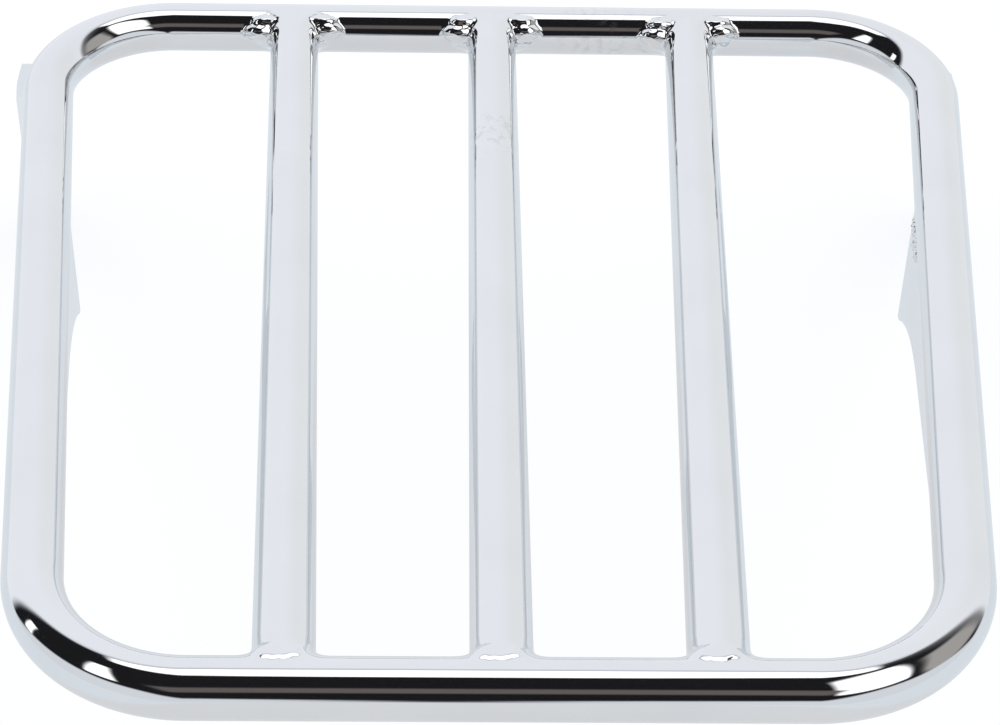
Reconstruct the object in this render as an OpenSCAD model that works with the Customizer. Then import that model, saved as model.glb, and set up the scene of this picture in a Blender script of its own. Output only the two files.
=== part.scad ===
// Luggage rack for a motorcycle: a tapered hoop of bent round tube, three
// lengthwise bars welded inside it, and a joggled bracket plate under each
// side rail that bolts to the bike's backrest struts.
// Millimetres. +Y points to the wide front end, +X to the right, +Z up.
// The origin is the middle of the load deck, at the height of the tube tops.

/* [Tube hoop] */
// Outside diameter of all the round tube
tube_d = 12.7; // [9.5:0.1:16]
// Wall thickness of the tube
tube_wall = 1.6; // [1:0.1:2.5]
// Distance from the front tube's centreline to the rear tube's
rack_len = 240; // [200:1:300]
// Distance between the side rails' centrelines, at the front tube's line
front_w = 237; // [215:1:280]
// Distance between the side rails' centrelines, at the rear tube's line
rear_w = 183.5; // [165:0.5:205]
// Bend radius of the front corners, at the tube's centreline
front_bend_r = 30; // [22:1:38]
// Bend radius of the rear corners, at the tube's centreline
rear_bend_r = 34; // [24:1:40]

/* [Bars] */
// Spacing of the three bars at the front tube
bar_front_pitch = 53; // [44:1:60]
// Spacing of the three bars at the rear tube
bar_rear_pitch = 42.5; // [36:0.5:48]
// Gap between a bar's coped end and the tube that it meets
cope_gap = 0.1; // [0.05:0.05:0.3]

/* [Welds] */
// Radius of the hollow face of the fillet weld beside a bar's end
bar_weld_r = 4.5; // [3:0.1:7]
// Thickness of that weld at its toes
bar_weld_toe = 0.4; // [0.2:0.1:0.8]
// Height of that weld, up the tubes' flanks
bar_weld_h = 7; // [5:0.1:9]
// Thickness of the weld bead between a bracket and its rail
bracket_bead_d = 3.6; // [2.4:0.1:5]
// Length of each of a bracket's two weld beads, front and rear
bracket_bead_len = 24; // [14:1:34]
// Distance of those beads from the gusset's ends
bracket_bead_gap = 10; // [3:1:16]

/* [Bracket plates] */
// Thickness of the bracket plate
plate_t = 2.5; // [2:0.1:4]
// Inside radius of the plate's bend at the gusset's front edge
plate_bend_r = 3; // [1.5:0.1:5]
// Distance from the rail's centreline inboard to the plate's middle
plate_inset = 2.7; // [1.5:0.1:4]
// Distance from the front tube's centreline back to the gusset's front edge
gusset_setback = 60; // [54:1:72]
// Distance from the rear tube's centreline forward to the gusset's rear end
gusset_rear_gap = 35; // [30:1:60]
// Depth of the gusset's tip below the tubes' centrelines
gusset_depth = 48.5; // [44:0.5:58]
// Depth of the gusset's rear end below the tubes' centrelines
gusset_rear_depth = 7.5; // [7:0.1:12]
// Radius of the hollow curve between the straight lower edge and the tip
gusset_curve_r = 118; // [100:1:140]
// Radius of the gusset's rounded tip
gusset_tip_r = 2.5; // [1.5:0.1:4]
// Height of the arm where it leaves the gusset
arm_root_h = 24; // [18:1:28]

/* [Bolt tabs] */
// Distance over the outer faces of the two tabs
tab_span = 272; // [264:1:300]
// Width of a tab's flat along the rack
tab_w = 20; // [17:0.5:26]
// Height of a tab
tab_h = 51; // [46:1:64]
// Distance from the front tube's centreline forward to the tab's front edge
tab_reach = 44; // [34:1:56]
// Depth of the tab's top edge below the tubes' centrelines
tab_drop = 38.5; // [34:0.5:48]
// Radius of the tab's top front corner
tab_corner_r = 4.5; // [2:0.1:6]
// Inside radius of the bend between the arm and the tab
tab_bend_r = 28; // [10:1:30]
// Distance from the tab's flat back to where the arm's plane crosses its plane
tab_bend_setback = 5; // [5:0.5:9]
// Diameter of the bolt holes
hole_d = 8.7; // [6.5:0.1:10.5]
// Distance between the two bolt holes in a tab
hole_pitch = 31; // [26:1:36]

/* [Hidden] */
$fn = 64;
// Facets of the bent hoop: round its section, and round each of its bends
hoop_sides = 36;
corner_steps = 12;
// Facets round each bend of a bracket plate
bend_steps = 6;

tube_r = tube_d / 2;
bore_d = tube_d - 2 * tube_wall;
// Height of the tubes' centrelines
mid_z = -tube_r;
front_y = rack_len / 2;
rear_y = -rack_len / 2;

// Angle that each side rail leans inward from the Y axis, towards the rear
taper = atan((front_w - rear_w) / 2 / rack_len);
front_bend_x = front_w / 2 - front_bend_r * (1 + sin(taper)) / cos(taper);
rear_bend_x = rear_w / 2 - rear_bend_r * (1 - sin(taper)) / cos(taper);
front_bend_y = front_y - front_bend_r;
rear_bend_y = rear_y + rear_bend_r;
// Direction square to the right rail, outward
rail_out = [cos(taper), -sin(taper)];
rail_front = [front_bend_x, front_bend_y] + front_bend_r * rail_out;
rail_rear = [rear_bend_x, rear_bend_y] + rear_bend_r * rail_out;

// Side view of a gusset: Y forward, height from the tubes' centrelines
gusset_front = front_y - gusset_setback;
gusset_rear = rear_y + gusset_rear_gap;
tip = [gusset_front - gusset_tip_r, -gusset_depth + gusset_tip_r];
// Angle from straight down at which the hollow curve meets the tip's round
tip_turn = 38;
curve = tip - (gusset_curve_r + gusset_tip_r) * [sin(tip_turn), cos(tip_turn)];
// The straight lower edge runs from the rear end to touch the hollow curve
gusset_end = [gusset_rear, -gusset_rear_depth];
end_run = gusset_end - curve;
gusset_slope = atan2(end_run[0], end_run[1]) + acos(gusset_curve_r / norm(end_run));

// Side view of a tab
tab_front = front_y + tab_reach;
tab_rear = tab_front - tab_w;
tab_mid_y = tab_front - tab_w / 2;
tab_bottom = -tab_drop - tab_h;
tab_round_z = tab_bottom + tab_w / 2;
tab_round = [tab_mid_y, tab_round_z];
// The arm's lower edge touches the tip's round and the tab's
arm_run = tab_round - tip;
arm_under = atan2(arm_run[1], arm_run[0]) - 90 - asin((tab_w / 2 - gusset_tip_r) / norm(arm_run));
// The two holes stand evenly between the tab's ends
upper_hole_z = -tab_drop - (tab_h - hole_pitch) / 2;
lower_hole_z = upper_hole_z - hole_pitch;
tab_x = tab_span / 2 - plate_t / 2;

// Plan of the right plate's middle: along the rail, out along the arm, and
// forward along the tab
function rail_x(y) = front_w / 2 - (front_y - y) * tan(taper);
function inset_x(y) = rail_x(y) - plate_inset / cos(taper);
plan = [[inset_x(gusset_rear - plate_t), gusset_rear - plate_t],
        [inset_x(gusset_front), gusset_front],
        [tab_x, tab_rear - tab_bend_setback],
        [tab_x, tab_front + plate_t]];
// Radius of the bend of the plate's middle at each of those points
plan_r = [0, plate_bend_r + plate_t / 2, tab_bend_r + plate_t / 2, 0];

function unit(v) = v / norm(v);
function heading(a, b) = atan2(b[1] - a[1], b[0] - a[0]);

// One long edge of the plate's plan, at a distance to the left of its middle
function bend_edge(i, left) =
    let (before = heading(plan[i - 1], plan[i]), after = heading(plan[i], plan[i + 1]))
    let (turn = after - before, side = sign(turn))
    let (start = plan[i] - plan_r[i] * tan(abs(turn) / 2) * unit(plan[i] - plan[i - 1]))
    let (middle = start + side * plan_r[i] * [-sin(before), cos(before)])
    [for (k = [0 : bend_steps])
        let (angle = before + turn * k / bend_steps - side * 90)
        middle + (plan_r[i] - side * left) * [cos(angle), sin(angle)]];
function end_edge(i, along, left) = plan[i] + left * [-sin(along), cos(along)];
function plate_edge(left) = concat(
    [end_edge(0, heading(plan[0], plan[1]), left)],
    bend_edge(1, left),
    bend_edge(2, left),
    [end_edge(3, heading(plan[2], plan[3]), left)]);
function reversed(list) = [for (i = [len(list) - 1 : -1 : 0]) list[i]];

// A round rod between two points of the plan, at the tubes' height
module rod(a, b, d) {
    length = norm(b - a);
    translate([a[0], a[1], mid_z])
        rotate([0, 0, heading(a, b)])
        rotate([0, 90, 0])
        cylinder(h = length, d = d);
}

// One bend of the hoop as rings of points, swept round its middle
function corner_rings(middle, bend_r, from, sweep) = [
    for (i = [0 : corner_steps])
        let (angle = from + sweep * i / corner_steps)
        for (j = [0 : hoop_sides - 1])
            let (turn = 360 * j / hoop_sides, reach = bend_r + tube_r * cos(turn))
            [middle[0] + reach * cos(angle), middle[1] + reach * sin(angle),
             mid_z + tube_r * sin(turn)]];

// The closed hoop, one bent tube. Its bore opens nowhere, so it is left solid.
module frame_hoop() {
    points = concat(
        corner_rings([front_bend_x, front_bend_y], front_bend_r, -taper, 90 + taper),
        corner_rings([-front_bend_x, front_bend_y], front_bend_r, 90, 90 + taper),
        corner_rings([-rear_bend_x, rear_bend_y], rear_bend_r, 180 + taper, 90 - taper),
        corner_rings([rear_bend_x, rear_bend_y], rear_bend_r, 270, 90 - taper));
    rings = len(points) / hoop_sides;
    color("gainsboro")
        polyhedron(points, [
            for (i = [0 : rings - 1], j = [0 : hoop_sides - 1])
                let (a = i * hoop_sides, b = (i + 1) % rings * hoop_sides)
                let (k = (j + 1) % hoop_sides)
                for (face = [[a + j, a + k, b + k], [a + j, b + k, b + j]])
                    face]);
}

// The room that a cross tube takes up, at y, as a straight rod of diameter d
module cross_rod(y, d) {
    half = y > 0 ? front_bend_x : rear_bend_x;
    rod([-half, y], [half, y], d);
}

// The room that the right side rail takes up, with its rear bend
module rail_rod() {
    rod(rail_rear, rail_front, tube_d);
}

module rear_bend() {
    translate([rear_bend_x, rear_bend_y, mid_z])
        rotate([0, 0, -90])
        rotate_extrude(angle = 90 - taper)
        translate([rear_bend_r, 0])
        circle(d = tube_d);
}

// A lengthwise bar: side is -1 for the left one, 0 for the middle, 1 for the
// right. Its ends are coped round the cross tubes.
module bar_rod(side, d) {
    rod([side * bar_rear_pitch, rear_y], [side * bar_front_pitch, front_y], d);
}

module bar(side) {
    color("gainsboro")
        difference() {
            bar_rod(side, tube_d);
            bar_rod(side, bore_d);
            cross_rod(front_y, tube_d + 2 * cope_gap);
            cross_rod(rear_y, tube_d + 2 * cope_gap);
        }
}

// The fillet weld in the corner between a bar's flank and a cross tube. Place
// and side say which bar and which flank; along is 1 at the front, -1 behind.
module corner_weld(place, side, y, pitch, along) {
    inner = tube_r / 2;
    outer = bar_weld_r + bar_weld_toe;
    difference() {
        difference() {
            translate([place * pitch + side * tube_r, y - along * tube_r, mid_z])
                linear_extrude(height = bar_weld_h, center = true)
                difference() {
                    translate([side > 0 ? -inner : -outer, along > 0 ? -outer : -inner])
                        square(inner + outer);
                    translate([side * outer, -along * outer])
                        circle(r = bar_weld_r);
                }
            bar_rod(place, tube_d);
        }
        cross_rod(y, tube_d);
    }
}

module bar_welds(y, pitch, along) {
    color("lightgray")
        for (place = [-1, 0, 1], side = [-1, 1])
            corner_weld(place, side, y, pitch, along);
}

function arc(middle, r, from, to, steps) = [
    for (i = [0 : steps])
        let (angle = from + (to - from) * i / steps)
        middle + r * [cos(angle), sin(angle)]];

// Side view of the whole plate: gusset, arm and tab
module plate_outline() {
    top = -tab_drop - tab_corner_r;
    polygon(concat(
        [[gusset_rear, 0], [gusset_front, 0],
         [gusset_front, tip[1] + arm_root_h], [tab_rear, -tab_drop]],
        arc([tab_front - tab_corner_r, top], tab_corner_r, 90, 0, corner_steps),
        arc(tab_round, tab_w / 2, 0, arm_under, 2 * corner_steps),
        arc(tip, gusset_tip_r, arm_under, -90 - tip_turn, corner_steps),
        arc(curve, gusset_curve_r, 90 - tip_turn, 90 - gusset_slope, 2 * corner_steps),
        [gusset_end]));
}

// The bent ribbon that the bracket is cut from, as tall as the whole bracket
module ribbon() {
    translate([0, 0, tab_bottom])
        linear_extrude(height = -tab_bottom)
        polygon(concat(plate_edge(plate_t / 2), reversed(plate_edge(-plate_t / 2))));
}

module right_plate() {
    translate([0, 0, mid_z])
        difference() {
            intersection() {
                ribbon();
                rotate([90, 0, 90])
                    linear_extrude(height = tab_span)
                    plate_outline();
            }
            for (z = [upper_hole_z, lower_hole_z])
                translate([tab_x, tab_mid_y, z])
                    rotate([0, 90, 0])
                    cylinder(h = 4 * plate_t, d = hole_d, center = true);
        }
}

module right_bracket() {
    color("silver")
        difference() {
            difference() {
                right_plate();
                rail_rod();
            }
            rear_bend();
        }
}

module left_bracket() {
    mirror([1, 0, 0]) right_bracket();
}

// A weld bead in the crease between a face of the gusset and the rail, from
// one place along the rack to another. Side is -1 inboard and 1 outboard.
module crease_bead(side, y_from, y_to) {
    face = side * plate_t / 2 - plate_inset;
    crease_z = mid_z - sqrt(tube_r * tube_r - face * face);
    a = [rail_x(y_from) + face / cos(taper), y_from];
    b = [rail_x(y_to) + face / cos(taper), y_to];
    difference() {
        difference() {
            translate([a[0], a[1], crease_z])
                rotate([0, 0, heading(a, b)])
                rotate([0, 90, 0])
                cylinder(h = norm(b - a), d = bracket_bead_d);
            rail_rod();
        }
        // The side of that face that the plate takes up
        translate([a[0], a[1], crease_z - bracket_bead_d])
            rotate([0, 0, heading(a, b)])
            translate([-bracket_bead_d, side < 0 ? -2 * bracket_bead_d : 0, 0])
            cube([norm(b - a) + 2 * bracket_bead_d, 2 * bracket_bead_d, 2 * bracket_bead_d]);
    }
}

module right_bracket_welds() {
    front = gusset_front - bracket_bead_gap;
    rear = gusset_rear + bracket_bead_gap;
    color("lightgray") {
        crease_bead(-1, front - bracket_bead_len, front);
        crease_bead(1, rear, rear + bracket_bead_len);
    }
}

module left_bracket_welds() {
    mirror([1, 0, 0]) right_bracket_welds();
}

frame_hoop();
bar(-1);  // left_bar
bar(0);  // centre_bar
bar(1);  // right_bar
bar_welds(front_y, bar_front_pitch, 1);  // front_bar_welds
bar_welds(rear_y, bar_rear_pitch, -1);  // rear_bar_welds
left_bracket();
right_bracket();
left_bracket_welds();
right_bracket_welds();
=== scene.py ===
"""Looks of the motorcycle luggage rack: bright chrome on bent tube, weld beads
and bracket plates, in a pale studio. Lengths are in millimetres in the CAD
frame, and become metres where a mesh is made."""

import math

import bmesh
import bpy
import numpy as np
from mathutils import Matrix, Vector


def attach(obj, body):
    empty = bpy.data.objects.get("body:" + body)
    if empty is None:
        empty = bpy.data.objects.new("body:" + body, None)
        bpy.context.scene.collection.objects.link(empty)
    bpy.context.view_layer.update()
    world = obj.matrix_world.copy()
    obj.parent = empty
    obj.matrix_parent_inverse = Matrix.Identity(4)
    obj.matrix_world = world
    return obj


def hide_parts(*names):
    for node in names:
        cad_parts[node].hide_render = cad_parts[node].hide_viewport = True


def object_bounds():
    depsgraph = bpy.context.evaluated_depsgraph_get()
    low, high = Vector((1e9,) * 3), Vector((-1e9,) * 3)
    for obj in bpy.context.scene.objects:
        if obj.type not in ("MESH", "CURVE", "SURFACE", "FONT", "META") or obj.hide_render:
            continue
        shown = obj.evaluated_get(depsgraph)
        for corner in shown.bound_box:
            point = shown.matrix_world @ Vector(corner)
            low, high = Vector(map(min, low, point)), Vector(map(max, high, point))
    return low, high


MM = 0.001
TAU = 2 * math.pi

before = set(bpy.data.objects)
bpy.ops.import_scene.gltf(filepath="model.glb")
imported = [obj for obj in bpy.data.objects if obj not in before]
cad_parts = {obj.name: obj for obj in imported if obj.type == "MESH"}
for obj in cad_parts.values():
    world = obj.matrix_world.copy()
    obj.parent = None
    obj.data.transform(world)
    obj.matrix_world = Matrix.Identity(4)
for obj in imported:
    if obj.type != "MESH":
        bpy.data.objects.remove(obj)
cad_low, cad_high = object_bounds()

# Sizes of the solids, as part.scad has them
TUBE_R = 6.35
RACK_LEN = 240.0
FRONT_W = 237.0
REAR_W = 183.5
FRONT_BEND_R = 30.0
REAR_BEND_R = 34.0
BAR_FRONT_PITCH = 53.0
BAR_REAR_PITCH = 42.5
PLATE_INSET = 2.7
PLATE_T = 2.5
GUSSET_FRONT = 60.0
GUSSET_REAR = -85.0
BEAD_GAP = 10.0
BEAD_LEN = 24.0

MID_Z = -TUBE_R
FRONT_Y = RACK_LEN / 2
REAR_Y = -RACK_LEN / 2
TAPER = math.atan((FRONT_W - REAR_W) / 2 / RACK_LEN)
FRONT_BEND_X = FRONT_W / 2 - FRONT_BEND_R * (1 + math.sin(TAPER)) / math.cos(TAPER)
REAR_BEND_X = REAR_W / 2 - REAR_BEND_R * (1 - math.sin(TAPER)) / math.cos(TAPER)
FRONT_BEND_Y = FRONT_Y - FRONT_BEND_R
REAR_BEND_Y = REAR_Y + REAR_BEND_R

# Fineness of the round meshes, how far the bars' ends lie inside the tubes,
# the rings on such an end as shares of its radius, and the angle of a sharp edge
TUBE_SIDES = 96
CORNER_STEPS = 48
STRAIGHT_STEPS = 10
COPE_SUNK = 0.3
COPE_SHARES = (0.02, 0.25, 0.5, 0.75, 0.999)
SHARP_ANGLE = math.radians(50)

# The grid of the welds' meshes: its cell, its margin in cells, the step over
# which slopes are taken, the least slope squared and the rounds in which points
# settle on the surface, and the least length that anything is divided by
GRID_STEP = 0.35
GRID_MARGIN = 2.4
SLOPE_STEP = 0.01
LEAST_SLOPE_SQUARED = 0.2
SETTLE_ROUNDS = 4
NEVER_ZERO = 1e-6

# How far the welds lie inside the tubes where they show no metal of their own,
# and how deep they go into the tubes and into the plates
SUNK = 0.012
WELD_ROOT = 0.5
BEAD_ROOT = PLATE_T / 3

# The room of the weld round a bar's end: its width, its reach along the bar, the
# spill at both ends of that reach, and the room above and below
WELD_WIDTH = 29.0
WELD_REACH = 13.0
WELD_SPILL = 1
WELD_HEADROOM = 2.0

# How softly the forms in that weld meet, and the height and reach of its
# crumpled skin round the lumps
BAR_END_BLEND = 1.0
LUMP_BLEND = 1.6
GROUND_BLEND = 0.5
CRUMPLE = 0.045
CRUMPLE_REACH = 1.5

# The brackets' beads: the pitch of their drops, how much the drops vary and how
# fast, their length against their width, how softly they meet, their crumpled
# skin and its waves against the other weld's, and the room round a bead
BEAD_PITCH = 2.2
DROP_VARIES = 0.14
DROP_TURN = 2.4
DROP_LENGTH = 1.25
DROP_BLEND = 0.5
BEAD_CRUMPLE = 0.3
BEAD_WAVES = 1.3
BEAD_ROOM_ALONG = 2
BEAD_ROOM_ACROSS = 4

# The bolt tab's bend is gentler than the solid's: how far its middle lies
# further in, where that is, how far off it fades out, and how far apart the
# plate is cut there so that it can bend
TAB_EASE = 1.4
TAB_EASE_Y = 136.0
TAB_EASE_REACH = 16.0
TAB_EASE_STEP = 2.0

# A bevel is no wider than the shortest edge lets it be, so no edge is shorter
SHORT_EDGE = 0.05

# The plates' broken edges: points this near become one, faces this flat become
# one, the bevel's width and steps, and the angle of an edge that gets it
PLATE_MERGE = 0.02
PLATE_FLAT = math.radians(1.5)
BEVEL_WIDTH = 0.45
BEVEL_STEPS = 3
EDGE_ANGLE = math.radians(40)


# Meshes

def add_piece(name, points, faces, material, slot, *nodes):
    """A smooth mesh piece that rides on the rack and stands for CAD nodes."""
    mesh = bpy.data.meshes.new(name)
    mesh.from_pydata([Vector(p) * MM for p in points], [], faces)
    mesh.update()
    piece = bpy.data.objects.new(name, mesh)
    bpy.context.scene.collection.objects.link(piece)
    work = bmesh.new()
    work.from_mesh(mesh)
    bmesh.ops.recalc_face_normals(work, faces=work.faces)
    work.to_mesh(mesh)
    work.free()
    mesh.shade_smooth()
    mesh.set_sharp_from_angle(angle=SHARP_ANGLE)
    dress(piece, material, slot, *nodes)


def dress(piece, material, slot, *nodes):
    """Give a piece its material and body, and hide the nodes it stands for. The slot is not used."""
    piece.data.materials.append(material)
    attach(piece, "root")
    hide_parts(*nodes)


def skin(rings, closed):
    """Points and faces of a tube through rings of points, closed on itself or
    capped at both ends."""
    count = len(rings[0])
    points = [p for ring in rings for p in ring]
    faces = []
    for i in range(len(rings) if closed else len(rings) - 1):
        here, there = i * count, (i + 1) % len(rings) * count
        for j in range(count):
            k = (j + 1) % count
            faces.append((here + j, here + k, there + k, there + j))
    if not closed:
        faces.append(tuple(range(count)))
        faces.append(tuple(reversed(range(len(points) - count, len(points)))))
    return points, faces


def tube_ring(middle, out):
    """A ring of the tube round its centreline, out being square to it."""
    out, up = Vector(out).normalized(), Vector((0, 0, 1))
    return [Vector(middle) + TUBE_R * (math.cos(TAU * j / TUBE_SIDES) * out
                                       + math.sin(TAU * j / TUBE_SIDES) * up)
            for j in range(TUBE_SIDES)]


def hoop_rings():
    """Rings round the closed hoop, corner by corner from the front right."""
    corners = (
        (FRONT_BEND_X, FRONT_BEND_Y, FRONT_BEND_R, -TAPER, math.pi / 2 + TAPER),
        (-FRONT_BEND_X, FRONT_BEND_Y, FRONT_BEND_R, math.pi / 2, math.pi / 2 + TAPER),
        (-REAR_BEND_X, REAR_BEND_Y, REAR_BEND_R, math.pi + TAPER, math.pi / 2 - TAPER),
        (REAR_BEND_X, REAR_BEND_Y, REAR_BEND_R, 1.5 * math.pi, math.pi / 2 - TAPER),
    )
    stations = []
    for x, y, bend_r, start, sweep in corners:
        for i in range(CORNER_STEPS + 1):
            angle = start + sweep * i / CORNER_STEPS
            out = Vector((math.cos(angle), math.sin(angle), 0))
            stations.append((Vector((x, y, MID_Z)) + bend_r * out, out))
    rings = []
    for i, (middle, out) in enumerate(stations):
        rings.append(tube_ring(middle, out))
        if i % (CORNER_STEPS + 1) == CORNER_STEPS:
            after = stations[(i + 1) % len(stations)][0]
            for step in range(1, STRAIGHT_STEPS):
                rings.append(tube_ring(middle.lerp(after, step / STRAIGHT_STEPS), out))
    return rings


def bar_axis(place):
    """The rear and front ends of a bar's centreline."""
    return (Vector((place * BAR_REAR_PITCH, REAR_Y, MID_Z)),
            Vector((place * BAR_FRONT_PITCH, FRONT_Y, MID_Z)))


def bar_rings(place):
    """Rings along a bar, whose ends are coped to sit just inside the tubes."""
    rear, front = bar_axis(place)
    along = (front - rear).normalized()
    out = along.cross(Vector((0, 0, 1)))

    def coped(end, sign, share):
        """A ring on the end's face, at a share of the tube's radius."""
        ring = []
        for point in tube_ring(end, out):
            point = end.lerp(point, share)
            depth = math.sqrt(TUBE_R ** 2 - (point.z - MID_Z) ** 2) - COPE_SUNK
            face_y = sign * RACK_LEN / 2 - sign * depth
            ring.append(point + along * ((face_y - point.y) / along.y))
        return ring

    rings = [coped(rear, -1, share) for share in COPE_SHARES]
    for step in range(1, STRAIGHT_STEPS):
        rings.append(tube_ring(rear.lerp(front, step / STRAIGHT_STEPS), out))
    return rings + [coped(front, 1, share) for share in reversed(COPE_SHARES)]


# Welds, as the zero of a field in space: below zero is metal

def smooth_min(a, b, reach):
    """The lesser of two distances, blended where they are within reach."""
    near = np.maximum(reach - np.abs(a - b), 0) / reach
    return np.minimum(a, b) - near ** 3 * reach / 6


def smooth_max(a, b, reach):
    """The greater of two distances, blended in the same way."""
    return -smooth_min(-a, -b, reach)


def rod_field(at, start, end, radius):
    """The distance to an endless rod through two points."""
    axis = np.array(end) - np.array(start)
    axis /= np.linalg.norm(axis)
    off = at - np.array(start)
    return np.linalg.norm(off - (off @ axis)[..., None] * axis, axis=-1) - radius


def lump_field(at, middle, radii):
    """Near enough the distance to an ellipsoid."""
    off, radii = at - np.array(middle), np.array(radii)
    level = np.linalg.norm(off / radii, axis=-1)
    return level * (level - 1) / np.maximum(np.linalg.norm(off / radii ** 2, axis=-1), NEVER_ZERO)


def crumple(at, seed):
    """A smooth irregular wave, from -1 to 1: three waves multiplied, in radians
    per millimetre along each axis."""
    x, y, z = (at[..., i] for i in range(3))
    return (np.sin(2.3 * x + 0.9 * z + seed) * np.sin(1.9 * y - 0.8 * x + 2 * seed)
            * np.sin(2.1 * z + 1.1 * y + 3 * seed))


def slopes(field, at):
    """The field's gradient."""
    return np.stack([(field(at + SLOPE_STEP * axis) - field(at - SLOPE_STEP * axis)) / (2 * SLOPE_STEP)
                     for axis in np.eye(3)], axis=-1)


def surface(field, low, high):
    """Points, faces and normals where a field is zero, one point in each cell
    of a grid that the surface crosses, moved onto the surface."""
    axes = [np.arange(a, b, GRID_STEP) for a, b in zip(low, high)]
    at = np.stack(np.meshgrid(*axes, indexing="ij"), axis=-1)
    value = field(at)
    cells = np.array(value.shape) + 1
    sums, counts, edges = np.zeros((*cells, 3)), np.zeros(cells), []
    for axis in range(3):
        here = tuple(slice(0, -1) if i == axis else slice(None) for i in range(3))
        there = tuple(slice(1, None) if i == axis else slice(None) for i in range(3))
        a, b = value[here], value[there]
        crossed = (a < 0) != (b < 0)
        share = np.where(crossed, a / np.where(crossed, a - b, 1), 0)
        place = at[here] + share[..., None] * GRID_STEP * np.eye(3)[axis]
        corners = []
        for u, v in ((0, 0), (1, 0), (1, 1), (0, 1)):
            shift = {axis: (1, -1), (axis + 1) % 3: (u, u - 1), (axis + 2) % 3: (v, v - 1)}
            corner = tuple(slice(shift[i][0], shift[i][1] or None) for i in range(3))
            sums[corner] += np.where(crossed[..., None], place, 0)
            counts[corner] += crossed
            corners.append(corner)
        edges.append((crossed, a < 0, corners))
    points = sums[counts > 0] / counts[counts > 0][:, None]
    index = np.full(cells, -1)
    index[counts > 0] = np.arange(len(points))
    faces = []
    for crossed, outward, corners in edges:
        quads = np.stack([index[corner][crossed] for corner in corners], axis=-1)
        faces.append(np.where(outward[crossed][:, None], quads, quads[:, ::-1]))
    for _ in range(SETTLE_ROUNDS):
        slope = slopes(field, points)
        steepness = np.maximum((slope ** 2).sum(1), LEAST_SLOPE_SQUARED)[:, None]
        move = field(points)[:, None] * slope / steepness
        points = points - np.clip(move, -GRID_STEP, GRID_STEP)
    normals = slopes(field, points)
    return points, np.concatenate(faces), normals / np.linalg.norm(normals, axis=1)[:, None]


def add_weld(name, surfaces, slot, node):
    """One piece of weld metal out of several surfaces."""
    points, faces, normals = [], [], []
    start = 0
    for part_points, part_faces, part_normals in surfaces:
        points.append(part_points)
        faces.append(part_faces + start)
        normals.append(part_normals)
        start += len(part_points)
    mesh = bpy.data.meshes.new(name)
    mesh.from_pydata((np.concatenate(points) * MM).tolist(), [], np.concatenate(faces).tolist())
    mesh.shade_smooth()
    mesh.normals_split_custom_set_from_vertices(np.concatenate(normals).tolist())
    piece = bpy.data.objects.new(name, mesh)
    bpy.context.scene.collection.objects.link(piece)
    dress(piece, WELD_CHROME, slot, node)


def bar_weld(place, sign, valley, flush, setback, lumps, seed):
    """The weld round a bar's end: a fillet in the valley between the tubes with
    lumps of weld metal on the cross tube, all ground level on top. Sign is 1 in
    front and -1 behind. Valley is the fillet's reach, flush the height of the
    ground top, and setback how far short of the cross tube's middle the fillet
    takes the bar to end. A lump is how far it lies from the bar's axis, its angle
    round the cross tube from the top, and its half width and thickness."""
    rear, front = bar_axis(place)
    end = front if sign > 0 else rear
    middle_y = end.y - sign * WELD_REACH / 2

    def field(at):
        past_end = sign * (at[..., 1] - end.y) + setback
        bar = smooth_max(rod_field(at, rear, front, TUBE_R), past_end, BAR_END_BLEND)
        cross = rod_field(at, end, end + Vector((1, 0, 0)), TUBE_R)
        weld = smooth_min(bar, cross, valley)
        rough = np.zeros(weld.shape)
        for off, angle, wide, thick in lumps:
            lean = math.radians(angle)
            y = end.y - sign * math.sin(lean) * TUBE_R
            x = rear.x + (front.x - rear.x) * (y - rear.y) / (front.y - rear.y) + off
            lump = lump_field(at, (x, y, MID_Z + math.cos(lean) * TUBE_R), (wide, thick, thick))
            weld = smooth_min(weld, lump, LUMP_BLEND)
            rough = np.maximum(rough, np.clip(1 - lump / CRUMPLE_REACH, 0, 1))
        weld = weld - CRUMPLE * rough * crumple(at, seed)
        weld = smooth_max(weld, at[..., 2] - flush, GROUND_BLEND)
        reach = np.maximum(np.abs(at[..., 0] - end.x) - WELD_WIDTH / 2,
                           np.abs(at[..., 1] - middle_y) - WELD_REACH / 2 - WELD_SPILL)
        return np.maximum(np.maximum(weld + SUNK, -np.minimum(bar, cross) - WELD_ROOT), reach)

    margin = GRID_MARGIN * GRID_STEP
    low = (end.x - WELD_WIDTH / 2 - margin,
           middle_y - WELD_REACH / 2 - WELD_SPILL - margin,
           MID_Z - TUBE_R - WELD_HEADROOM)
    high = (end.x + WELD_WIDTH / 2 + margin,
            middle_y + WELD_REACH / 2 + WELD_SPILL + margin,
            WELD_HEADROOM)
    return surface(field, low, high)


# Shader nodes

def feed(tree, value, socket):
    """Feed a socket from another node, or set it to a number or a colour."""
    if isinstance(value, bpy.types.NodeSocket):
        tree.links.new(value, socket)
    elif isinstance(value, tuple):
        socket.default_value = (*value, 1)
    else:
        socket.default_value = value


def math_node(tree, operation, *values):
    node = tree.nodes.new("ShaderNodeMath")
    node.operation = operation
    for socket, value in zip(node.inputs, values):
        feed(tree, value, socket)
    return node.outputs["Value"]


def ramp(tree, value, low, high, to_low=0.0, to_high=1.0, smooth=False):
    """A value that goes from to_low to to_high as another goes from low to high."""
    node = tree.nodes.new("ShaderNodeMapRange")
    if smooth:
        node.interpolation_type = "SMOOTHSTEP"
    node.inputs["From Min"].default_value = low
    node.inputs["From Max"].default_value = high
    node.inputs["To Min"].default_value = to_low
    node.inputs["To Max"].default_value = to_high
    feed(tree, value, node.inputs["Value"])
    return node.outputs["Result"]


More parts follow.
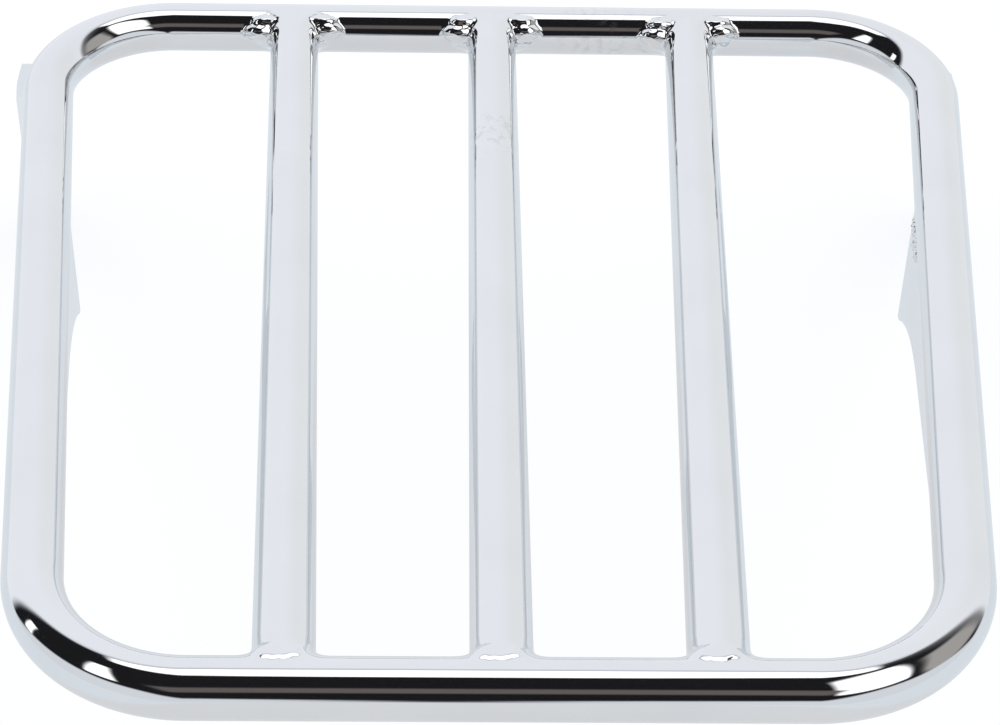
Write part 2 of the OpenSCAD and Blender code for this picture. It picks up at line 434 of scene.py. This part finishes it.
def mix_colours(tree, below, above, mask):
    node = tree.nodes.new("ShaderNodeMix")
    node.data_type = "RGBA"
    feed(tree, below, node.inputs["A"])
    feed(tree, above, node.inputs["B"])
    feed(tree, mask, node.inputs["Factor"])
    return node.outputs["Result"]


# Materials

# Noise in the plate, each a scale per metre and a detail, and the range of it
# that shows: a haze over all of it, the blotches of a dull mark, and a ripple
HAZE_NOISE = (38.0, 3.0)
HAZE_RANGE = (0.3, 0.7)
HAZE_SHARE = 0.12
BLOTCH_NOISE = (420.0, 4.0)
BLOTCH_RANGE = (0.5, 0.62)
RIPPLE_NOISE = (55.0, 1.0)

# A dull mark is full out to this share of its radius, and where the plate is
# all dull its colour is this share of the bright one and it is this much rougher
MARK_CORE = 0.4
DULL_COLOUR = 0.72
DULL_ROUGHNESS = 0.22


def chrome(name, colour, roughness, ripple, marks=()):
    """Bright plate: a mirror with a faint ripple and slightly uneven polish.
    Marks are dull places, each a middle, a radius and a strength."""
    material = bpy.data.materials.new(name)
    material.use_nodes = True
    tree = material.node_tree
    nodes, links = tree.nodes, tree.links
    shader = nodes["Principled BSDF"]
    shader.inputs["Metallic"].default_value = 1.0
    where = nodes.new("ShaderNodeTexCoord").outputs["Object"]

    def noise_at(scale, detail):
        texture = nodes.new("ShaderNodeTexNoise")
        texture.inputs["Scale"].default_value = scale
        texture.inputs["Detail"].default_value = detail
        links.new(where, texture.inputs["Vector"])
        return texture.outputs["Fac"]

    dull = math_node(tree, "MULTIPLY", ramp(tree, noise_at(*HAZE_NOISE), *HAZE_RANGE), HAZE_SHARE)
    for middle, radius, strength in marks:
        away = nodes.new("ShaderNodeVectorMath")
        away.operation = "DISTANCE"
        away.inputs[1].default_value = Vector(middle) * MM
        links.new(where, away.inputs[0])
        near = ramp(tree, away.outputs["Value"], MARK_CORE * radius * MM, radius * MM, 1.0, 0.0)
        blotch = ramp(tree, noise_at(*BLOTCH_NOISE), *BLOTCH_RANGE, 0.0, strength)
        dull = math_node(tree, "ADD", dull, math_node(tree, "MULTIPLY", near, blotch))

    dull_colour = tuple(DULL_COLOUR * c for c in colour)
    links.new(mix_colours(tree, colour, dull_colour, dull), shader.inputs["Base Color"])
    rough = ramp(tree, dull, 0.0, 1.0, roughness, roughness + DULL_ROUGHNESS)
    links.new(rough, shader.inputs["Roughness"])

    bump = nodes.new("ShaderNodeBump")
    bump.inputs["Strength"].default_value = 1.0
    bump.inputs["Distance"].default_value = ripple * MM
    links.new(noise_at(*RIPPLE_NOISE), bump.inputs["Height"])
    links.new(bump.outputs["Normal"], shader.inputs["Normal"])
    return material


# Dull marks in the plate: a stain on the middle bar and two on the front tube
STAINS = (((0.3, 63, 0), 11, 0.35), ((26, 114, -3), 12, 0.3), ((38, 115, -10), 14, 0.3))

# Colours of the plate on tube and weld, and on the brackets' sheet
BRIGHT = (0.80, 0.81, 0.825)
GREYER = (0.76, 0.78, 0.80)
TUBE_CHROME = chrome("tube_chrome", BRIGHT, roughness=0.035, ripple=0.02, marks=STAINS)
WELD_CHROME = chrome("weld_chrome", BRIGHT, roughness=0.045, ripple=0.03)
SHEET_CHROME = chrome("sheet_chrome", GREYER, roughness=0.09, ripple=0.04)


# The rack

# The bars' places, from left to right
PLACES = (-1, 0, 1)
points, faces = skin(hoop_rings(), closed=True)
add_piece("tube_hoop", points, faces, TUBE_CHROME, "plated_tube", "frame_hoop")
for place, side in zip(PLACES, ("left", "centre", "right")):
    points, faces = skin(bar_rings(place), closed=False)
    add_piece(f"tube_bar_{side}", points, faces, TUBE_CHROME, "plated_tube", f"{side}_bar")

# Lumps of each far weld, first left of the bar and then right of it
FAR_LUMPS = {
    -1: ((-9.3, 69, 3.9, 2.2), (-7.8, 44, 3.0, 1.3), (-7.4, 90, 3.2, 1.7),
         (8.0, 42, 3.2, 1.3), (9.0, 64, 3.8, 2.2), (7.2, 88, 3.0, 1.7)),
    0: ((-9.1, 67, 4.0, 2.2), (-8.0, 40, 3.0, 1.4), (-7.6, 92, 3.0, 1.6),
        (8.2, 38, 3.0, 1.4), (8.8, 63, 3.8, 2.2), (7.4, 90, 3.2, 1.7)),
    1: ((-9.3, 70, 3.9, 2.2), (-7.9, 42, 3.2, 1.4), (-7.2, 91, 3.0, 1.6),
        (8.6, 61, 3.8, 2.3), (7.6, 36, 2.8, 1.2), (7.4, 86, 3.0, 1.7)),
}
front_welds = [bar_weld(place, 1, valley=5.0, flush=-0.12, setback=0.0,
                        lumps=FAR_LUMPS[place], seed=2.0 + place) for place in PLACES]
add_weld("front_bar_beads", front_welds, "plated_weld", "front_bar_welds")

# Each near weld has a low dome over the bar's end
NEAR_LUMPS = ((-1.2, 42, 4.6, 2.3),)
rear_welds = [bar_weld(place, -1, valley=5.5, flush=0.25, setback=4.2,
                       lumps=NEAR_LUMPS, seed=5.0 + place) for place in PLACES]
add_weld("rear_bar_beads", rear_welds, "plated_weld", "rear_bar_welds")


def rounded_plate(name, node):
    """The bracket's own solid with its edges broken, as plating leaves them."""
    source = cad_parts[node]
    work = bmesh.new()
    work.from_mesh(source.data)
    bmesh.ops.remove_doubles(work, verts=work.verts, dist=PLATE_MERGE * MM)
    bmesh.ops.dissolve_limit(work, angle_limit=PLATE_FLAT, verts=work.verts, edges=work.edges)
    for step in np.arange(-TAB_EASE_REACH, TAB_EASE_REACH + TAB_EASE_STEP, TAB_EASE_STEP):
        cut_at = Vector((0, TAB_EASE_Y + step, 0)) * MM
        bmesh.ops.bisect_plane(work, geom=[*work.verts, *work.edges, *work.faces],
                               dist=SHORT_EDGE * MM, plane_co=cut_at, plane_no=(0, 1, 0))
    bmesh.ops.remove_doubles(work, verts=work.verts, dist=SHORT_EDGE * MM)
    bmesh.ops.dissolve_degenerate(work, edges=work.edges, dist=SHORT_EDGE * MM)
    for vert in work.verts:
        off = (vert.co.y / MM - TAB_EASE_Y) / TAB_EASE_REACH
        vert.co.x -= math.copysign(TAB_EASE * max(1 - off ** 2, 0) ** 2 * MM, vert.co.x)
    mesh = bpy.data.meshes.new(name)
    work.to_mesh(mesh)
    work.free()
    piece = bpy.data.objects.new(name, mesh)
    bpy.context.scene.collection.objects.link(piece)
    bevel = piece.modifiers.new("edges", "BEVEL")
    bevel.width = BEVEL_WIDTH * MM
    bevel.segments = BEVEL_STEPS
    bevel.limit_method = "ANGLE"
    bevel.angle_limit = EDGE_ANGLE
    bevel.harden_normals = True
    mesh.shade_smooth()
    mesh.set_sharp_from_angle(angle=EDGE_ANGLE)
    dress(piece, SHEET_CHROME, "plated_sheet", node)


rounded_plate("bracket_left", "left_bracket")
rounded_plate("bracket_right", "right_bracket")


def crease_weld(side, face_side, y_from, y_to, radius, away, rise, seed):
    """Overlapping drops of weld metal near the crease between a gusset's face
    and its rail. Side is 1 right and -1 left; face_side is -1 inboard, 1
    outboard; away and rise are from the crease."""
    offset = face_side * PLATE_T / 2 - PLATE_INSET
    crease_z = MID_Z - math.sqrt(TUBE_R ** 2 - offset ** 2)

    def rail_point(y, across, z):
        x = FRONT_W / 2 - (FRONT_Y - y) * math.tan(TAPER) + across / math.cos(TAPER)
        return side * x, y, z

    count = round((y_to - y_from) / BEAD_PITCH)
    drops = []
    for i in range(count):
        y = y_from + (i + 0.5) * (y_to - y_from) / count
        size = radius * (1 + DROP_VARIES * math.sin(DROP_TURN * i + seed))
        middle = rail_point(y, offset + away * face_side, crease_z + rise)
        drops.append((middle, (size, DROP_LENGTH * size, size)))
    outward = np.array((side * math.cos(TAPER), -math.sin(TAPER), 0))
    face_at = np.array(rail_point(y_from, offset, crease_z))

    def field(at):
        rail = rod_field(at, rail_point(REAR_Y, 0, MID_Z), rail_point(FRONT_Y, 0, MID_Z), TUBE_R)
        bead = None
        for middle, radii in drops:
            drop = lump_field(at, middle, radii)
            bead = drop if bead is None else smooth_min(bead, drop, DROP_BLEND)
        beyond = -face_side * ((at - face_at) @ outward)
        bead = bead - BEAD_CRUMPLE * crumple(BEAD_WAVES * at, seed)
        return np.maximum(np.maximum(bead, -rail - WELD_ROOT), beyond - BEAD_ROOT)

    ends = [rail_point(y, offset + room, crease_z + room)
            for y in (y_from - BEAD_ROOM_ALONG, y_to + BEAD_ROOM_ALONG)
            for room in (-BEAD_ROOM_ACROSS, BEAD_ROOM_ACROSS)]
    return surface(field, np.min(ends, axis=0), np.max(ends, axis=0))


# A front bead's radius, how far out and up from the crease it lies, and how far
# its rear and front ends are set back. A rear bead has the first three only.
FRONT_BEADS = (
    (-1, "left", 1.3, 0.25, -0.1, 0.0, 0.0),
    (1, "right", 2.0, 0.7, 1.2, 1.5, 9.0),
)
REAR_BEAD = (1.8, 0.25, -0.15)
front = GUSSET_FRONT - BEAD_GAP
rear = GUSSET_REAR + BEAD_GAP
for side, name, radius, away, rise, rear_cut, front_cut in FRONT_BEADS:
    front_bead = crease_weld(side, -1, front - BEAD_LEN - rear_cut, front - front_cut,
                             radius, away, rise, seed=2.0 + side)
    rear_bead = crease_weld(side, 1, rear, rear + BEAD_LEN, *REAR_BEAD, seed=6.0 + side)
    add_weld(f"bracket_beads_{name}", [front_bead, rear_bead], "plated_weld", f"{name}_bracket_welds")


# The studio

# The table: its colour in the world that the chrome mirrors, and the tints of
# its own glow under the rack and beyond it
FLOOR_GREY = (0.78, 0.81, 0.85)
FLOOR_UNDER = (0.98, 1.0, 1.03)
FLOOR_BEYOND = (1.0, 1.1, 1.19)


def sky(azimuth, elevation):
    """A direction: azimuth 0 is +Y and 90 is +X, elevation is up from level."""
    a, e = math.radians(azimuth), math.radians(elevation)
    return Vector((math.cos(e) * math.sin(a), math.cos(e) * math.cos(a), math.sin(e)))


# What the chrome mirrors, from the first to the last laid over it: the corners
# as (azimuth, elevation), the colour and the width of the soft edge
CARDS = {
    "back_wall": (
        ((-71, -20), (-67, 26), (-58, 44), (-40, 56), (40, 56), (60, 42), (68, 20), (71, -20)),
        (0.96, 0.985, 1.03), 0.07),
    "back_wall_right": (
        ((14, -20), (14, 50), (60, 42), (71, -20)),
        (0.92, 0.935, 0.95), 0.3),
    "back_wall_top": (
        ((-31, 53), (31, 53), (26, 59), (-26, 59)),
        (0.72, 0.74, 0.82), 0.03),
    "ceiling": (
        ((-52, 66), (-30, 60), (30, 60), (52, 66), (100, 86), (-100, 86)),
        (1.5, 1.5, 1.5), 0.02),
    "left_box": (
        ((-103, 61), (-97, 57), (-118, 29), (-136, 33)),
        (1.6, 1.6, 1.6), 0.03),
    "right_box": (
        ((70, 70), (66, 64), (100, 51), (120, 29), (162, 29), (140, 72)),
        (1.6, 1.6, 1.6), 0.04),
    "right_panel": (
        ((76, 8), (70, 40), (82, 54), (99, 44), (113, 28), (112, 10)),
        (0.42, 0.40, 0.38), 0.08),
    "left_strip": (
        ((-87, 10), (-80, 31), (-75, 29), (-81, 9)),
        (1.5, 1.5, 1.5), 0.015),
    "camera_side": (
        ((165, 31), (-165, 31), (-150, 44), (150, 44)),
        (0.14, 0.12, 0.115), 0.06),
    "left_table": (
        ((-179, -5), (-178, 6), (-150, 24), (-120, 24), (-92, 14), (-74, -1)),
        FLOOR_GREY, 0.05),
    "right_table": (
        ((179, -5), (178, 6), (150, 23), (122, 25), (100, 12), (76, -1)),
        FLOOR_GREY, 0.05),
}

# What the chrome mirrors where no card is, how soft the horizon is there, and
# the sky that the camera and diffuse surfaces see
DARK = (0.012, 0.012, 0.014)
HORIZON_SOFT = 0.03
PLAIN = (1.0, 1.0, 1.0)


def build_world():
    """White for the camera. The chrome sees a dark studio with pale walls, soft
    boxes and a pale table; diffuse surfaces see a plain level sky."""
    world = bpy.data.worlds.new("studio")
    bpy.context.scene.world = world
    world.use_nodes = True
    tree = world.node_tree
    nodes, links = tree.nodes, tree.links
    direction = nodes.new("ShaderNodeTexCoord").outputs["Generated"]

    def soft_side(normal, soft):
        """1 in the half of the sky that a direction points to, 0 in the other."""
        dot = nodes.new("ShaderNodeVectorMath")
        dot.operation = "DOT_PRODUCT"
        dot.inputs[1].default_value = normal
        links.new(direction, dot.inputs[0])
        return ramp(tree, dot.outputs["Value"], -soft, soft, smooth=True)

    seen = mix_colours(tree, DARK, FLOOR_GREY, soft_side(Vector((0, 0, -1)), HORIZON_SOFT))
    for corners, colour, soft in CARDS.values():
        ends = [sky(*corner) for corner in corners]
        middle = sum(ends, Vector()).normalized()
        mask = None
        for a, b in zip(ends, ends[1:] + ends[:1]):
            normal = a.cross(b).normalized()
            if normal.dot(middle) < 0:
                normal.negate()
            side = soft_side(normal, soft)
            mask = side if mask is None else math_node(tree, "MULTIPLY", mask, side)
        seen = mix_colours(tree, seen, colour, mask)

    is_glossy = nodes.new("ShaderNodeLightPath").outputs["Is Glossy Ray"]
    background = nodes["Background"]
    links.new(mix_colours(tree, PLAIN, seen, is_glossy), background.inputs["Color"])
    background.inputs["Strength"].default_value = 1.0


build_world()


# The table's edges and its gap under the brackets, in metres
FLOOR_HALF_WIDTH = 1.6
FLOOR_NEAR = -1.6
FLOOR_FAR = 0.8
FLOOR_GAP = 0.0005

# Its paper, and the strength of its glow to the camera and in the chrome
PAPER = (0.3, 0.3, 0.3)
GLOW = 0.74
MIRRORED_GLOW = 0.52

# The chrome sees the tint change between these distances, in metres: beside the
# rack's middle line, and beyond its middle as the camera looks. Beside, it comes
# nearer by so much as y goes from the one to the other.
CHANGE_FROM = 0.13
CHANGE_TO = 0.18
NEARER_BY = 0.06
NEARER_Y = (-0.1, 0.0)


def build_floor():
    """A pale table under the brackets, white to the camera but for the shadow."""
    mesh = bpy.data.meshes.new("floor")
    x, z = FLOOR_HALF_WIDTH, cad_low.z - FLOOR_GAP
    corners = [(-x, FLOOR_NEAR, z), (x, FLOOR_NEAR, z), (x, FLOOR_FAR, z), (-x, FLOOR_FAR, z)]
    mesh.from_pydata(corners, [], [(0, 1, 2, 3)])
    floor = bpy.data.objects.new("floor", mesh)
    bpy.context.scene.collection.objects.link(floor)
    material = bpy.data.materials.new("table")
    material.use_nodes = True
    tree = material.node_tree
    nodes, links = tree.nodes, tree.links
    nodes.remove(nodes["Principled BSDF"])
    is_glossy = nodes.new("ShaderNodeLightPath").outputs["Is Glossy Ray"]

    paper = nodes.new("ShaderNodeBsdfDiffuse")
    feed(tree, PAPER, paper.inputs["Color"])
    glow = nodes.new("ShaderNodeEmission")
    feed(tree, ramp(tree, is_glossy, 0.0, 1.0, GLOW, MIRRORED_GLOW), glow.inputs["Strength"])

    # The chrome sees the table brighter and cooler beside and beyond the rack
    where = nodes.new("ShaderNodeSeparateXYZ")
    links.new(nodes.new("ShaderNodeTexCoord").outputs["Object"], where.inputs["Vector"])
    nearer = ramp(tree, where.outputs["Y"], *NEARER_Y, 0.0, NEARER_BY)
    aside = math_node(tree, "ADD", math_node(tree, "ABSOLUTE", where.outputs["X"]), nearer)
    beyond = math_node(tree, "MAXIMUM", aside, where.outputs["Y"])
    bright = ramp(tree, beyond, CHANGE_FROM, CHANGE_TO, smooth=True)
    mask = math_node(tree, "MULTIPLY", bright, is_glossy)
    feed(tree, mix_colours(tree, FLOOR_UNDER, FLOOR_BEYOND, mask), glow.inputs["Color"])
    both = nodes.new("ShaderNodeAddShader")
    links.new(paper.outputs["BSDF"], both.inputs[0])
    links.new(glow.outputs["Emission"], both.inputs[1])
    links.new(both.outputs["Shader"], nodes["Material Output"].inputs["Surface"])
    mesh.materials.append(material)


build_floor()


# The camera, from the fit to the photograph. Its frame is 1000 by 725 pixels.
PICTURE_W = 1000
PICTURE_H = 725
FOCAL_PX = 2448.44
CENTRE_PX = (496.04, 364.51)
CAMERA_AT = (-10.79, -445.57, 346.21)
CAMERA_TURN = (50.283, -1.0377, -0.5672)
SENSOR = 36.0

# In metres
CLIP_START = 0.01

camera_data = bpy.data.cameras.new("camera")
camera_data.sensor_width = SENSOR
camera_data.lens = FOCAL_PX / PICTURE_W * SENSOR
camera_data.shift_x = (PICTURE_W / 2 - CENTRE_PX[0]) / PICTURE_W
camera_data.shift_y = (CENTRE_PX[1] - PICTURE_H / 2) / PICTURE_W
camera_data.clip_start = CLIP_START
camera = bpy.data.objects.new("camera", camera_data)
camera.location = Vector(CAMERA_AT) * MM
camera.rotation_euler = [math.radians(a) for a in CAMERA_TURN]
bpy.context.scene.collection.objects.link(camera)
bpy.context.scene.camera = camera
bpy.context.scene.view_settings.view_transform = "Standard"
